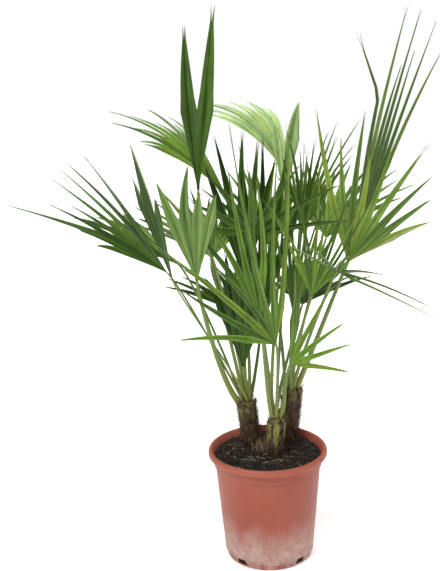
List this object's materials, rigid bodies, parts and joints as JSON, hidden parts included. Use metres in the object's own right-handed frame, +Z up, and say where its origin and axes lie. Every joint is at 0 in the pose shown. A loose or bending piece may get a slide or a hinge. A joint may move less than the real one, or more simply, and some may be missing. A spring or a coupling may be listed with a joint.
{
  "type": "potted european fan palm",
  "caption": "clump-forming fan palm with short fibrous stems and stiff fingered fan leaves on long stalks, in a round tapered nursery pot",
  "frame": {"origin": "centre of the pot's flat underside", "axes": "+Z up along the pot's axis, -Y is the pictured front, +X to the viewer's right"},
  "size_m": [0.8729, 0.7199, 1.1106],
  "materials": {
    "pot_plastic": "matt terracotta-coloured plastic with a pale lime deposit low down",
    "soil": "dark moist potting soil with bark crumbs",
    "stem_fibre": "brown fibrous leaf bases",
    "stalk": "yellow-green, smooth, with small spines",
    "leaf_dark": "leathery dark green",
    "leaf_mid": "leathery mid green",
    "leaf_bright": "leathery light green",
    "leaf_olive": "leathery olive green",
    "leaf_pale": "pale green underside",
    "leaf_grey": "grey-green with a waxy bloom"
  },
  "bodies": {
    "root": {"fan_arch_back": "leaf_pale", "fan_arch_left": "leaf_pale", "fan_back_left": "leaf_mid", "fan_back_low_left": "leaf_dark", "fan_back_low_right": "leaf_dark", "fan_back_mid": "leaf_mid", "fan_back_point": "leaf_grey", "fan_back_right": "leaf_mid", "fan_centre": "leaf_mid", "fan_front_left": "leaf_bright", "fan_front_right": "leaf_bright", "fan_inner_back": "leaf_dark", "fan_inner_left": "leaf_bright", "fan_inner_right": "leaf_mid", "fan_left_broad": "leaf_dark", "fan_left_face": "leaf_grey", "fan_left_long": "leaf_pale", "fan_left_low": "leaf_dark", "fan_low_dark": "leaf_dark", "fan_mid_dark": "leaf_dark", "fan_right_fan": "leaf_olive", "fan_right_inner": "leaf_bright", "fan_right_low": "leaf_mid", "fan_right_mid": "leaf_mid", "fan_right_tall": "leaf_mid", "fan_twin": "leaf_dark", "fan_young": "leaf_grey", "pot": "pot_plastic", "soil": "soil", "stalk_arch_back": "stalk", "stalk_arch_left": "stalk", "stalk_back_left": "stalk", "stalk_back_low_left": "stalk", "stalk_back_low_right": "stalk", "stalk_back_mid": "stalk", "stalk_back_point": "stalk", "stalk_back_right": "stalk", "stalk_centre": "stalk", "stalk_front_left": "stalk", "stalk_front_right": "stalk", "stalk_inner_back": "stalk", "stalk_inner_left": "stalk", "stalk_inner_right": "stalk", "stalk_left_broad": "stalk", "stalk_left_face": "stalk", "stalk_left_long": "stalk", "stalk_left_low": "stalk", "stalk_low_dark": "stalk", "stalk_mid_dark": "stalk", "stalk_right_fan": "stalk", "stalk_right_inner": "stalk", "stalk_right_low": "stalk", "stalk_right_mid": "stalk", "stalk_right_tall": "stalk", "stalk_twin": "stalk", "stalk_young": "stalk", "stem_left": "stem_fibre", "stem_middle": "stem_fibre", "stem_right": "stem_fibre"}
  },
  "joints": []
}
